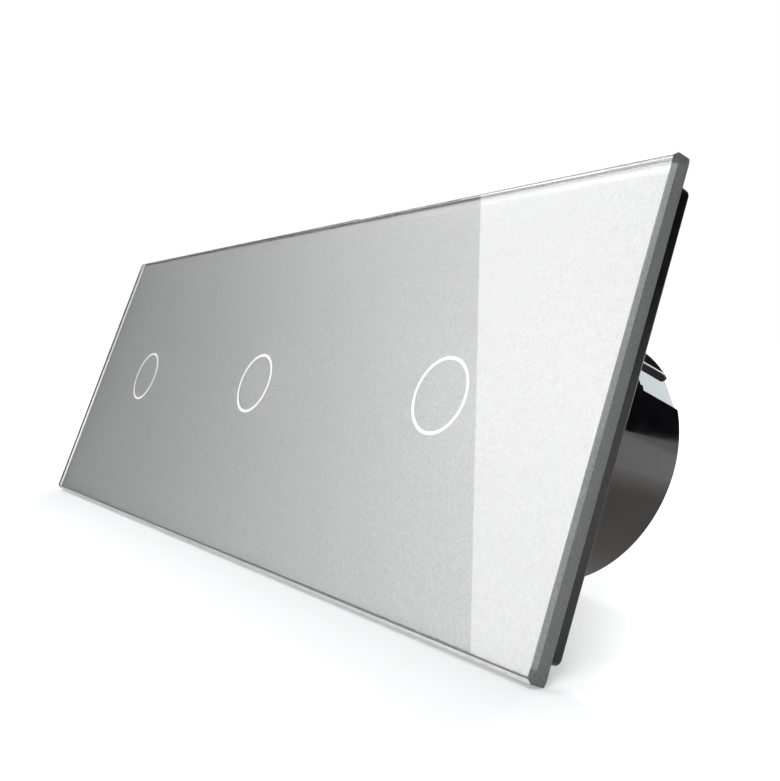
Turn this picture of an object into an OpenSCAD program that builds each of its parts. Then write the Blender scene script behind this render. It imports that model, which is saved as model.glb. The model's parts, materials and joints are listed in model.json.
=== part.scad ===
// Triple touch light switch: one glass panel over three round touch modules.
// X runs right along the panel, Y runs into the wall, Z is up. Y = 0 is the wall plane.

/* [Panel] */
// Thickness of the glass
glass_t = 3; // [2:0.1:5]
// Chamfer round the glass's front edge
glass_chamfer = 0.65; // [0.2:0.05:1.5]
// How far each corner of the glass is cut off along the panel
corner_across = 0.4; // [0.2:0.1:3]
// How far each corner of the glass is cut off down the panel's end
corner_down = 1.4; // [0.4:0.1:4]
// Thickness of the paint film on the glass's back
paint_t = 0.1; // [0.05:0.01:0.3]
// Mean diameter of a printed ring
ring_d = 14.2; // [10:0.1:18]
// Width of a ring's line
ring_line = 0.6; // [0.3:0.05:1]
// Gap between the ring's print and the paint
print_gap = 0.02; // [0.01:0.01:0.05]
// Thickness of the double-sided tape
tape_t = 0.3; // [0.1:0.05:0.8]
// How far the tape stays inside the frame's edge
tape_inset = 1; // [0.2:0.1:2]

/* [Panel frame] */
// How far the frame is set in from the glass's top and bottom edges
frame_inset = 3; // [1:0.1:6]
// How far the frame is set in from the glass's ends
end_inset = 1.75; // [1:0.05:4]
// Depth of the frame from front to back
frame_depth = 3.6; // [3.2:0.1:6]
// Radius of the frame's corners
frame_corner = 1.5; // [1:0.1:5]
// Size of the rounding along the frame's back edge
frame_round = 1; // [0.3:0.1:1.2]
// Thickness of the frame's rim
rim_t = 1.3; // [1.1:0.1:2]
// Clearance between the rim and the mount frames, above and below them
rim_fit = 0.4; // [0.2:0.05:1]
// Clearance between the rim and the outer mount frames, at the panel's ends
end_fit = 1.65; // [0.4:0.05:3]
// Thickness of the frame's front flange
flange_t = 0.8; // [0.5:0.1:1.5]
// Width of each window in the frame
window_w = 60; // [52:0.5:66]
// Height of each window in the frame
window_h = 62; // [52:0.5:63]
// Gap from the frame's back to the wall
wall_gap = 0.2; // [0.1:0.05:0.5]
// Width of a locating tongue
tongue_w = 8; // [4:0.5:14]
// Thickness of a locating tongue
tongue_t = 1.2; // [0.8:0.1:1.6]
// Distance of a tongue from the window's edge
tongue_step = 0.7; // [0.4:0.1:1.5]
// Clearance round a tongue in its slot
tongue_fit = 0.2; // [0.1:0.05:0.4]

/* [Mount frame] */
// Distance between module centres
pitch = 71; // [70:0.5:80]
// Gap between neighbouring mount frames
mount_gap = 0.4; // [0.2:0.1:2]
// Thickness of the mount frame
mount_t = 1.2; // [0.8:0.1:1.8]
// Radius of the mount frame's corners
mount_corner = 3; // [1:0.5:6]
// How far the mount frame reaches in past the housing's wall
mount_seat = 0.7; // [0.4:0.1:1.2]
// Distance between the two box screws
box_spacing = 60; // [58:0.5:64]
// Width of a box screw slot
slot_w = 4; // [3:0.1:4.5]
// Length of a box screw slot
slot_l = 7; // [5:0.5:8]

/* [Round body] */
// Radius of the round housing
body_r = 24.9; // [24.5:0.1:27]
// Depth of the housing behind the wall plane
body_depth = 30; // [28:0.5:40]
// Thickness of the housing's round wall
body_wall = 2.2; // [2:0.1:2.4]
// Thickness of the housing's rear wall
rear_wall = 1.6; // [1.2:0.1:2.4]
// Chamfer round the housing's rear edge
body_chamfer = 0.6; // [0.2:0.1:1.2]
// How far the flat along the housing's top is cut in
flat_cut = 2.9; // [2.2:0.1:3]
// Thickness of the wall under that flat
flat_wall = 1.8; // [1.4:0.1:2.2]
// Angle of a side groove above the horizontal
groove_angle = 35; // [20:1:45]
// Width of a side groove
groove_w = 7.4; // [4:0.1:9]
// Depth of a side groove
groove_depth = 1; // [0.5:0.1:1.2]
// Length of a side groove from the rear edge
groove_l = 10.5; // [6:0.5:16]
// Depth of the latch pocket in front of a groove
pocket_depth = 1.5; // [1.3:0.1:1.7]
// Length of that pocket
pocket_l = 6; // [3:0.5:10]
// Width of that pocket
pocket_w = 5.4; // [3:0.1:7]
// Radius of a screw boss in the housing
boss_r = 2.8; // [2.4:0.1:3]
// Thickness of the web between a boss and the wall
web_t = 2; // [1:0.1:3]
// Width of a board ledge on the housing's wall
ledge_w = 2; // [1:0.1:3]
// How far a ledge stands in from the wall
ledge_reach = 1.9; // [1:0.1:2]

/* [Front cover] */
// How far the front cover stays inside the housing's edge
cover_step = 0.5; // [0.2:0.1:1]
// Thickness of the front cover
cover_t = 1.6; // [1.2:0.1:1.8]
// Clearance of the cover's spigot in the mount frame
spigot_fit = 0.3; // [0.1:0.05:0.4]
// Thickness of the spigot's ring
spigot_t = 3.3; // [3:0.1:3.6]
// Clearance round the light guide in the cover
guide_fit = 0.4; // [0.2:0.05:0.6]
// Radius of a board standoff
standoff_r = 1.6; // [1:0.1:2]
// Distance of a standoff from the sensor board's edge
standoff_edge = 1.25; // [0.5:0.05:2]
// Radius of a cover screw's shank
cover_screw_r = 0.95; // [0.7:0.05:1.2]
// Radius of a cover screw's head
cover_head_r = 2; // [1.6:0.1:2.1]
// Thickness of a cover screw's head
cover_head_t = 1.1; // [0.8:0.1:1.1]
// Length of a cover screw under its head
cover_screw_l = 9; // [6:0.5:14]
// Length of the cross slot in a cover screw
cover_slot_l = 2.4; // [1.6:0.1:3]
// Width of that slot
cover_slot_w = 0.8; // [0.4:0.1:1]
// Depth of that slot
cover_slot_d = 0.5; // [0.3:0.05:0.7]
// Clearance round the cover screw
screw_fit = 0.15; // [0.05:0.05:0.3]

/* [Boards and touch parts] */
// Thickness of a circuit board
board_t = 1.2; // [0.8:0.1:1.6]
// Distance of the sensor board behind the wall plane
sensor_y = 0.6; // [0.3:0.1:1.5]
// Distance of the power board behind the wall plane
power_y = 9; // [7:0.1:10]
// Thickness of the power board
power_t = 1.6; // [1:0.1:2]
// Clearance round the boards
board_fit = 0.4; // [0.2:0.05:0.6]
// Thickness of the light guide's ring
guide_t = 2.2; // [1.6:0.1:2.6]
// How far the light guide's foot stands out
guide_foot = 1.6; // [1:0.1:2.4]
// Thickness of the light guide's foot
guide_foot_t = 1.2; // [0.8:0.1:1.5]
// Gap from the light guide to the paint
guide_gap = 0.5; // [0.3:0.05:1]
// Mean radius of the touch spring
spring_r = 4; // [3:0.1:4.6]
// Radius of the touch spring's wire
wire_r = 0.3; // [0.2:0.05:0.35]
// Turns of the touch spring
spring_turns = 3; // [2:1:4]
// Gap at each end of the touch spring
spring_gap = 0.1; // [0.05:0.05:0.3]
// Length of an indicator lamp across the light guide's ring
lamp_l = 1; // [0.6:0.1:1.4]
// Width of an indicator lamp
lamp_w = 1.6; // [1:0.1:2]
// Height of an indicator lamp
lamp_t = 0.6; // [0.4:0.1:0.8]
// Clearance round an indicator lamp
lamp_fit = 0.2; // [0.1:0.05:0.4]
// Width of the pin header
header_w = 2.5; // [2:0.1:4]
// Length of the pin header
header_l = 10; // [5:0.5:15]
// Height of the pin header's middle
header_z = -9; // [-11:0.5:-5]

/* [Relay] */
// Width of the relay
relay_w = 15; // [13:0.1:16]
// Height of the relay
relay_l = 19; // [18:0.1:20]
// Depth of the relay's cover
relay_depth = 13.4; // [12.5:0.1:15]
// Height of the relay's middle
relay_z = -8.5; // [-9:0.1:-8]
// Thickness of the relay's base
relay_base_t = 1.2; // [0.8:0.1:1.6]
// Wall of the relay's cover
relay_wall = 0.8; // [0.5:0.1:1]
// Radius of the coil
coil_r = 4.2; // [3:0.1:4.4]
// Length of the coil
coil_l = 7.6; // [6:0.1:8]
// Radius of the coil's pole
pole_r = 2.4; // [1.5:0.1:3]
// Width of the yoke and armature
yoke_w = 8; // [6:0.1:10]
// Thickness of the yoke
yoke_t = 1; // [0.8:0.1:1.2]
// Height of the yoke above the base
yoke_l = 9.4; // [9.2:0.1:10]
// Gap from the yoke to the cover's inside
yoke_gap = 1; // [0.6:0.1:1.4]
// Gap from the coil to the yoke
coil_gap = 0.6; // [0.4:0.1:1]
// Thickness of the armature
armature_t = 1; // [0.8:0.1:1.2]
// Length of the armature past its hinge
armature_l = 14.4; // [13.5:0.1:14.6]
// Length of the armature behind its hinge
armature_tail = 0.8; // [0.4:0.1:0.9]
// Gap at the armature's hinge
hinge_gap = 0.1; // [0.05:0.05:0.2]
// Gap from the open armature to the pole
pole_gap = 0.6; // [0.55:0.05:0.8]
// Gap from the open armature to the fixed contact
contact_gap = 1.1; // [1.05:0.05:1.4]
// Width of the fixed contact
contact_w = 4; // [2:0.1:6]
// Thickness of the fixed contact
contact_t = 0.8; // [0.5:0.1:1.2]
// Distance of the fixed contact from the armature's tip
contact_back = 1.2; // [0.8:0.1:1.6]

/* [Capacitors] */
// Radius of the round capacitor
round_cap_r = 4; // [3:0.1:4.5]
// Length of the round capacitor
round_cap_l = 12; // [8:0.5:16]
// Width of the box capacitor
box_cap_w = 6; // [4:0.1:7]
// Height of the box capacitor
box_cap_h = 10; // [8:0.1:11]
// Depth of the box capacitor
box_cap_l = 11; // [8:0.5:16]
// Distance of the capacitors' middle from the housing's wall
cap_reach = 8.5; // [8.2:0.1:9.2]
// Height of the capacitors' middle
cap_z = -7; // [-8:0.1:-6]

/* [Terminals] */
// Wall between two terminals
cell_wall = 1.2; // [0.8:0.1:1.3]
// Wall of the block's ends
block_side = 1.1; // [0.8:0.1:1.2]
// Wall of the block's floor
block_floor = 1.3; // [0.8:0.1:1.6]
// Wall of the block's roof, which the wires pass
block_roof = 1.8; // [1:0.1:2]
// Gap from the block to the housing's flat
block_fit = 0.1; // [0.05:0.05:0.2]
// Radius of a terminal screw's shank
term_r = 1.5; // [1.25:0.05:1.6]
// Radius of a terminal screw's head
term_head_r = 2.2; // [2:0.05:2.3]
// Thickness of a terminal screw's head
term_head_t = 1.8; // [1.4:0.1:2.2]
// Width of the slot in a terminal screw
term_slot_w = 0.8; // [0.5:0.1:1]
// Depth of that slot
term_slot_d = 0.9; // [0.5:0.1:1.2]
// Clearance round a terminal screw's head
head_fit = 0.2; // [0.1:0.05:0.3]
// Depth of a screw's seat below the block's rear face
seat_depth = 2.9; // [2.4:0.1:3.2]
// Thickness of that seat
seat_t = 1.5; // [1:0.1:2]
// Running clearance of a screw
run_fit = 0.05; // [0.02:0.01:0.08]
// Clearance of a shank in its seat
shank_fit = 0.1; // [0.05:0.01:0.2]
// Width of a cage
cage_w = 4.8; // [4.6:0.1:4.9]
// Length of a cage along the wire
cage_l = 5.4; // [4.8:0.1:5.6]
// Wall of a cage's sides
cage_side = 0.9; // [0.6:0.1:1]
// Thickness of a cage's floor
cage_floor = 1.2; // [0.8:0.1:1.4]
// Thickness of a cage's threaded roof
cage_roof = 1.3; // [1:0.1:1.6]
// Height of a cage's window
cage_window = 6.3; // [6:0.1:6.6]
// Sliding clearance of a cage
cage_fit = 0.1; // [0.05:0.01:0.15]
// Room left round a cage's ends
cage_room = 0.3; // [0.2:0.05:0.4]
// Travel of a cage
cage_travel = 2.4; // [2:0.1:2.5]
// Gap left past a cage's travel
cage_stop = 0.2; // [0.1:0.05:0.3]
// Clearance beside a contact bar in its cage
bar_side = 0.15; // [0.1:0.05:0.4]
// Thickness of a contact bar
bar_t = 1; // [0.6:0.1:1.2]
// Gap from a screw's tip to its bar
bar_gap = 0.2; // [0.1:0.05:0.3]
// Clearance of a bar in the block
bar_fit = 0.1; // [0.05:0.01:0.2]
// Gap from the block's underside to a bar's foot
foot_gap = 0.6; // [0.3:0.1:1]
// Gap from a bar to its cage's floor when fully raised
clamp_gap = 0.4; // [0.3:0.05:0.5]
// Radius of a wire hole in the block
wire_hole_r = 1.35; // [1:0.05:1.35]
// Radius of a wire hole in the housing
entry_r = 1.9; // [1.5:0.05:2.2]

/* [Hidden] */
$fn = 64;
hull_fn = 24;
eps = 0.5;
full_turn = 360;
sides = ["left", "mid", "right"];
terminals = ["1", "2", "3"];

// Planes across the depth, from the wall forward
frame_back = -wall_gap;
frame_front = frame_back - frame_depth;
paint_back = frame_front - tape_t;
glass_back = paint_back - paint_t;
glass_front = glass_back - glass_t;
cover_back = -mount_t;
cover_front = cover_back - cover_t;

// Planes across the depth, from the wall back
sensor_back = sensor_y + board_t;
power_back = power_y + power_t;
rear_inside = body_depth - rear_wall;
relay_floor = power_back + relay_base_t;
relay_inside = relay_floor + relay_depth - relay_wall;
yoke_top = relay_floor + yoke_l;
armature_y = yoke_top + hinge_gap;

// Planes of a terminal, from the screw's seat forward
seat_y = rear_inside - seat_depth;
cavity_end = seat_y - seat_t;
cage_top = cavity_end - cage_stop - cage_travel;
cage_roof_y = cage_top - cage_roof;
cage_floor_y = cage_roof_y - cage_window;
cage_bottom = cage_floor_y - cage_floor;
bar_y = cage_floor_y + cage_travel + clamp_gap;
bar_back = bar_y + bar_t;
wire_y = (cage_floor_y + bar_y) / 2;

// Sizes across the panel
mount_side = pitch - mount_gap;
frame_w = 2 * pitch + mount_side + 2 * (end_fit + rim_t);
frame_h = mount_side + 2 * (rim_fit + rim_t);
panel_w = frame_w + 2 * end_inset;
panel_h = frame_h + 2 * frame_inset;
tongue_z = window_h / 2 + tongue_step + tongue_t / 2;

// Sizes across the module
inner_r = body_r - body_wall;
mount_hole_r = inner_r - mount_seat;
spigot_r = mount_hole_r - spigot_fit;
boss_x = spigot_r - spigot_t / 2;
sensor_r = boss_x - boss_r - board_fit;
standoff_at = sensor_r - standoff_edge - standoff_r;
cover_r = body_r - cover_step;
guide_r_in = (ring_d - guide_t) / 2;
guide_r_out = (ring_d + guide_t) / 2;
guide_foot_r = guide_r_out + guide_foot;
flat_z = body_r - flat_cut;
inner_flat = flat_z - flat_wall;

// Sizes across the terminals
block_top = inner_flat - block_fit;
cavity_high = block_top - block_roof;
term_z = cavity_high - cage_room - cage_l / 2;
cavity_low = term_z - cage_l / 2 - cage_room;
block_z = cavity_low - block_floor;
term_pitch = cage_w + 2 * cage_fit + cell_wall;
block_w = len(terminals) * term_pitch - cell_wall + 2 * block_side;
bar_w = cage_w - 2 * cage_side - 2 * bar_side;
driver_r = term_head_r + head_fit;

// Sizes across the power board
cap_x = inner_r - cap_reach;
hinge_z = relay_z - relay_l / 2 + relay_wall + yoke_gap + yoke_t;
coil_z = hinge_z + coil_gap + coil_r;
contact_z = hinge_z + armature_l - contact_back;
ledge_angles = [20, 160, 242, 298];
standoff_angles = [60, 180, 300];
spring_steps = 8;
spring_sides = 6;

panel_parts = ["glass_panel", "silver_paint", "ring_marks", "panel_tape", "panel_frame"];
group_parts = [
    "housing_screws", "indicator_lamps", "board_headers", "relay_bases", "relay_coils",
    "relay_yokes", "relay_contacts", "relay_covers", "capacitors", "terminal_bars",
];
module_parts = [
    "mount_frame", "rear_housing", "front_cover", "sensor_board", "light_guide", "touch_spring",
    "power_board", "relay_armature", "terminal_block",
];

function module_x(m) = (m - 1) * pitch;
function term_x(t) = (t - 1) * term_pitch;

// A flat outline in X and Z, given depth from y0 to y1
module plate(y0, y1) {
    translate([0, y1, 0]) rotate([90, 0, 0]) linear_extrude(height = y1 - y0) children();
}

// A round bar or hole along Y
module rod(r, y0, y1) {
    translate([0, y0, 0]) rotate([-90, 0, 0]) cylinder(r = r, h = y1 - y0);
}

// A box from one corner to the other
module block(low, high) {
    translate(low) cube(high - low);
}

// A profile of radius and depth, turned about the module's axis
module turned() {
    rotate([-90, 0, 0]) rotate_extrude() children();
}

// A rectangle with round corners, of plain squares and circles
module round_rect(w, h, r) {
    square([w - 2 * r, h], center = true);
    square([w, h - 2 * r], center = true);
    for (x = [-1, 1]) for (y = [-1, 1])
        translate([x * (w / 2 - r), y * (h / 2 - r)]) circle(r);
}

// The panel's outline with its corners cut off, drawn in by a margin
module cut_rect(margin) {
    x = panel_w / 2 - margin;
    z = panel_h / 2 - margin;
    top_x = x - corner_across;
    end_z = z - corner_down;
    polygon([
        [top_x, z], [x, end_z], [x, -end_z], [top_x, -z],
        [-top_x, -z], [-x, -end_z], [-x, end_z], [-top_x, z],
    ]);
}

// A slot with round ends along X
module slot(l, w) {
    square([l - w, w], center = true);
    for (x = [-1, 1]) translate([x * (l - w) / 2, 0]) circle(w / 2);
}

// Children once on each module, at its own centre
module on_modules() {
    for (m = [0:2]) translate([module_x(m), 0, 0]) children();
}

// Children once on each terminal of a module
module on_terminals() {
    for (t = [0:2]) translate([term_x(t), 0, 0]) children();
}

// Children on both cover screws' axes
module on_bosses() {
    for (x = [-1, 1]) translate([x * boss_x, 0, 0]) children();
}

// Children turned about the module's axis, from +X up towards +Z
module at_angle(a) {
    rotate([0, -a, 0]) children();
}

module glass_panel() {
    color([0.82, 0.86, 0.86, 0.4]) hull() {
        plate(glass_front, glass_back) cut_rect(glass_chamfer);
        plate(glass_front + glass_chamfer, glass_back) cut_rect(0);
    }
}

module silver_paint() {
    color("silver") difference() {
        plate(glass_back, paint_back) cut_rect(0);
        on_modules() difference() {
            rod((ring_d + ring_line) / 2 + print_gap, glass_back - eps, paint_back + eps);
            rod((ring_d - ring_line) / 2 - print_gap, glass_back - eps, paint_back + eps);
        }
    }
}

module ring_marks() {
    color("white") on_modules() difference() {
        rod((ring_d + ring_line) / 2, glass_back, paint_back);
        rod((ring_d - ring_line) / 2, glass_back - eps, paint_back + eps);
    }
}

module panel_windows(y0, y1) {
    on_modules() block([-window_w / 2, y0, -window_h / 2], [window_w / 2, y1, window_h / 2]);
}

module panel_tape() {
    color("dimgray") difference() {
        plate(paint_back, frame_front)
            square([frame_w - 2 * tape_inset, frame_h - 2 * tape_inset], center = true);
        panel_windows(paint_back - eps, frame_front + eps);
    }
}

// The frame's outer form, drawn in towards its back edge like a quarter round
module frame_form() {
    hull() for (a = [0, 30, 60, 90]) {
        inset = frame_round * (1 - cos(a));
        plate(frame_front, frame_back - frame_round * (1 - sin(a)))
            round_rect(frame_w - 2 * inset, frame_h - 2 * inset, frame_corner, $fn = hull_fn);
    }
}

module panel_frame() {
    rim = [frame_w / 2 - rim_t, frame_h / 2 - rim_t];
    color([0.06, 0.06, 0.06]) {
        difference() {
            frame_form();
            block([-rim[0], frame_front + flange_t, -rim[1]], [rim[0], eps, rim[1]]);
            panel_windows(frame_front - eps, eps);
        }
        on_modules() for (z = [-tongue_z, tongue_z])
            block(
                [-tongue_w / 2, frame_front + flange_t / 2, z - tongue_t / 2],
                [tongue_w / 2, frame_back, z + tongue_t / 2]
            );
    }
}

module mount_frame() {
    color([0.62, 0.63, 0.65]) difference() {
        plate(-mount_t, 0) round_rect(mount_side, mount_side, mount_corner);
        rod(mount_hole_r, -mount_t - eps, eps);
        for (x = [-1, 1]) translate([x * box_spacing / 2, 0, 0])
            plate(-mount_t - eps, eps) slot(slot_l, slot_w);
        for (z = [-tongue_z, tongue_z])
            block(
                [-tongue_w / 2 - tongue_fit, -mount_t - eps, z - tongue_t / 2 - tongue_fit],
                [tongue_w / 2 + tongue_fit, eps, z + tongue_t / 2 + tongue_fit]
            );
    }
}

// The room inside the round housing, less its bosses and board ledges
module housing_room() {
    difference() {
        intersection() {
            rod(inner_r, -eps, rear_inside);
            block([-body_r, -2 * eps, -body_r], [body_r, body_depth, inner_flat]);
        }
        for (a = [0, 180]) at_angle(a) {
            translate([boss_x, 0, 0]) rod(boss_r, -2 * eps, body_depth);
            block([boss_x, -2 * eps, -web_t / 2], [body_r, body_depth, web_t / 2]);
        }
        for (a = ledge_angles) at_angle(a)
            block(
                [inner_r - ledge_reach, power_back, -ledge_w / 2],
                [body_r, body_depth, ledge_w / 2]
            );
    }
}

// One side groove, open at the rear edge, and the latch pocket in front of it
module side_groove() {
    groove_y = body_depth - groove_l;
    block(
        [body_r - groove_depth, groove_y, -groove_w / 2],
        [body_r + eps, body_depth + eps, groove_w / 2]
    );
    block(
        [body_r - pocket_depth, groove_y - pocket_l, -pocket_w / 2],
        [body_r + eps, groove_y + eps, pocket_w / 2]
    );
}

module rear_housing() {
    color([0.05, 0.05, 0.055]) difference() {
        intersection() {
            turned() polygon([
                [0, 0], [body_r, 0], [body_r, body_depth - body_chamfer],
                [body_r - body_chamfer, body_depth], [0, body_depth],
            ]);
            block([-body_r - eps, -eps, -body_r - eps], [body_r + eps, body_depth + eps, flat_z]);
        }
        housing_room();
        on_bosses() rod(cover_screw_r + run_fit, -eps, cover_screw_l + eps);
        for (a = [groove_angle, 180 - groove_angle]) at_angle(a) side_groove();
        on_terminals() {
            translate([0, 0, term_z]) rod(driver_r, rear_inside - eps, body_depth + eps);
            translate([0, wire_y, inner_flat - eps]) cylinder(r = entry_r, h = flat_wall + 2 * eps);
        }
    }
}

module front_cover() {
    color([0.08, 0.08, 0.085]) difference() {
        union() {
            rod(cover_r, cover_front, cover_back);
            difference() {
                rod(spigot_r, cover_front, 0);
                rod(spigot_r - spigot_t, cover_back, eps);
            }
            for (a = standoff_angles) at_angle(a) translate([standoff_at, 0, 0])
                rod(standoff_r, cover_front, sensor_y);
        }
        rod(guide_r_out + guide_fit, cover_front - eps, eps);
        on_bosses() {
            rod(cover_screw_r + screw_fit, cover_front - eps, eps);
            rod(cover_head_r + screw_fit, cover_front - eps, cover_front + cover_head_t);
        }
    }
}

module housing_screws() {
    color("silver") on_modules() on_bosses() difference() {
        union() {
            rod(cover_head_r, cover_front, cover_front + cover_head_t);
            rod(cover_screw_r, cover_front, cover_front + cover_head_t + cover_screw_l);
        }
        for (a = [0, 90]) at_angle(a) block(
            [-cover_slot_l / 2, cover_front - eps, -cover_slot_w / 2],
            [cover_slot_l / 2, cover_front + cover_slot_d, cover_slot_w / 2]
        );
    }
}

module sensor_board() {
    color("darkgreen") rod(sensor_r, sensor_y, sensor_back);
}

// A box on the sensor board under the light guide's ring, grown by a clearance
module lamp_box(grow) {
    for (x = [-1, 1]) translate([x * (guide_r_in + guide_r_out) / 2, 0, 0])
        block(
            [-lamp_l / 2 - grow, sensor_y - lamp_t - grow, -lamp_w / 2 - grow],
            [lamp_l / 2 + grow, sensor_y, lamp_w / 2 + grow]
        );
}

module indicator_lamps() {
    color("lightyellow") on_modules() lamp_box(0);
}

module light_guide() {
    color([0.9, 0.93, 0.95, 0.6]) difference() {
        union() {
            rod(guide_r_out, paint_back + guide_gap, sensor_y);
            rod(guide_foot_r, sensor_y - guide_foot_t, sensor_y);
        }
        rod(guide_r_in, paint_back - eps, sensor_y + eps);
        lamp_box(lamp_fit);
    }
}

spring_back = sensor_y - spring_gap - wire_r;
spring_front = paint_back + spring_gap + wire_r;
spring_pitch = (spring_back - spring_front) / spring_turns;
spring_rings = spring_turns * spring_steps;

wire_angles = [for (k = [0:spring_sides - 1]) full_turn * k / spring_sides];

// Point of the spring's wire: turn a, then angle b round the wire
function spring_point(i, b) =
    let (a = full_turn * i / spring_steps, reach = spring_r + wire_r * cos(b))
    [
        reach * cos(a),
        spring_back - spring_pitch * i / spring_steps + wire_r * sin(b),
        reach * sin(a),
    ];

module touch_spring() {
    n = spring_sides;
    points = [for (i = [0:spring_rings]) for (b = wire_angles) spring_point(i, b)];
    walls = [for (i = [0:spring_rings - 1]) for (k = [0:n - 1]) for (half = [0, 1])
        let (a = i * n + k, b = i * n + (k + 1) % n)
        half == 0 ? [a, b, b + n] : [a, b + n, a + n]];
    first = [for (k = [1:n - 2]) [0, k + 1, k]];
    last = [for (k = [1:n - 2]) [spring_rings * n, spring_rings * n + k, spring_rings * n + k + 1]];
    color("goldenrod") polyhedron(points = points, faces = concat(walls, first, last), convexity = 8);
}

// Least gap between the spring's neighbouring turns, measured on the wire's points
spring_self_gap = min([
    for (i = [0:spring_rings - spring_steps]) for (b = wire_angles) for (c = wire_angles)
        norm(spring_point(i, b) - spring_point(i + spring_steps, c))
]);
echo(spring_self_gap = spring_self_gap);

module board_headers() {
    color([0.1, 0.1, 0.1]) on_modules()
        block(
            [-header_w / 2, sensor_back, header_z - header_l / 2],
            [header_w / 2, power_y, header_z + header_l / 2]
        );
}

module power_board() {
    color("darkgreen") difference() {
        intersection() {
            rod(inner_r - board_fit, power_y, power_back);
            block([-body_r, 0, -body_r], [body_r, body_depth, inner_flat - board_fit]);
        }
        on_bosses() rod(boss_r + board_fit, power_y - eps, power_back + eps);
    }
}

// A box on the relay's middle line
module relay_block(w, y0, y1, z0, z1) {
    block([-w / 2, y0, z0], [w / 2, y1, z1]);
}

module relay_bases() {
    color("dimgray") on_modules()
        relay_block(relay_w, power_back, relay_floor, relay_z - relay_l / 2, relay_z + relay_l / 2);
}

module relay_covers() {
    low = relay_z - relay_l / 2;
    high = relay_z + relay_l / 2;
    color("royalblue") on_modules() difference() {
        relay_block(relay_w, relay_floor, relay_floor + relay_depth, low, high);
        relay_block(
            relay_w - 2 * relay_wall, relay_floor - eps, relay_inside, low + relay_wall, high - relay_wall
        );
    }
}

module relay_coils() {
    color("chocolate") on_modules() translate([0, 0, coil_z]) {
        rod(coil_r, relay_floor, relay_floor + coil_l);
        rod(pole_r, relay_floor, armature_y - pole_gap);
    }
}

module relay_yokes() {
    color("gray") on_modules()
        relay_block(yoke_w, relay_floor, yoke_top, hinge_z - yoke_t, hinge_z);
}

module relay_contacts() {
    color("goldenrod") on_modules()
        relay_block(
            contact_w, relay_floor, armature_y - contact_gap,
            contact_z - contact_t / 2, contact_z + contact_t / 2
        );
}

module relay_armature() {
    color("darkgray")
        relay_block(
            yoke_w, armature_y, armature_y + armature_t,
            hinge_z - armature_tail, hinge_z + armature_l
        );
}

module capacitors() {
    color("midnightblue") on_modules() {
        translate([cap_x, 0, cap_z]) rod(round_cap_r, power_back, power_back + round_cap_l);
        translate([-cap_x, 0, cap_z])
            block(
                [-box_cap_w / 2, power_back, -box_cap_h / 2],
                [box_cap_w / 2, power_back + box_cap_l, box_cap_h / 2]
            );
    }
}

module terminal_block() {
    color([0.12, 0.12, 0.13]) difference() {
        block([-block_w / 2, power_back, block_z], [block_w / 2, rear_inside, block_top]);
        on_terminals() {
            block(
                [-cage_w / 2 - cage_fit, power_back - eps, cavity_low],
                [cage_w / 2 + cage_fit, cavity_end, cavity_high]
            );
            translate([0, 0, term_z]) rod(term_r + shank_fit, cavity_end - eps, seat_y + eps);
            translate([0, 0, term_z]) rod(driver_r, seat_y, rear_inside + eps);
            translate([0, wire_y, cavity_high - eps]) cylinder(r = wire_hole_r, h = body_r);
            block(
                [-bar_w / 2 - bar_fit, bar_y - bar_fit, block_z - eps],
                [bar_w / 2 + bar_fit, bar_back + bar_fit, cavity_low + eps]
            );
        }
    }
}

module terminal_screw() {
    head_back = seat_y + run_fit + term_head_t;
    color("silver") translate([0, 0, term_z]) difference() {
        union() {
            rod(term_head_r, seat_y + run_fit, head_back);
            rod(term_r, bar_back + bar_gap, head_back);
        }
        block(
            [-driver_r, head_back - term_slot_d, -term_slot_w / 2],
            [driver_r, head_back + eps, term_slot_w / 2]
        );
    }
}

module terminal_cage() {
    window = cage_w / 2 - cage_side;
    color("khaki") translate([0, 0, term_z]) difference() {
        block([-cage_w / 2, cage_bottom, -cage_l / 2], [cage_w / 2, cage_top, cage_l / 2]);
        block([-window, cage_floor_y, -cage_l], [window, cage_roof_y, cage_l]);
        rod(term_r + run_fit, cage_roof_y - eps, cage_top + eps);
    }
}

module terminal_bars() {
    foot_z = block_z - foot_gap - bar_t;
    color("goldenrod") on_modules() on_terminals() {
        block([-bar_w / 2, bar_y, foot_z], [bar_w / 2, bar_back, term_z + cage_l / 2]);
        block([-bar_w / 2, power_back, foot_z], [bar_w / 2, bar_back, foot_z + bar_t]);
    }
}

glass_panel();
silver_paint();
ring_marks();
panel_tape();
panel_frame();
housing_screws();
indicator_lamps();
board_headers();
relay_bases();
relay_coils();
relay_yokes();
relay_contacts();
relay_covers();
capacitors();
terminal_bars();
for (m = [0:2]) translate([module_x(m), 0, 0]) {
    mount_frame();
    rear_housing();
    front_cover();
    sensor_board();
    light_guide();
    touch_spring();
    power_board();
    relay_armature();
    terminal_block();
    for (t = [0:2]) translate([term_x(t), 0, 0]) {
        terminal_screw();
        terminal_cage();
    }
}
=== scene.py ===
import json
import math

import bmesh
import bpy
from mathutils import Matrix, Vector


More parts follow.
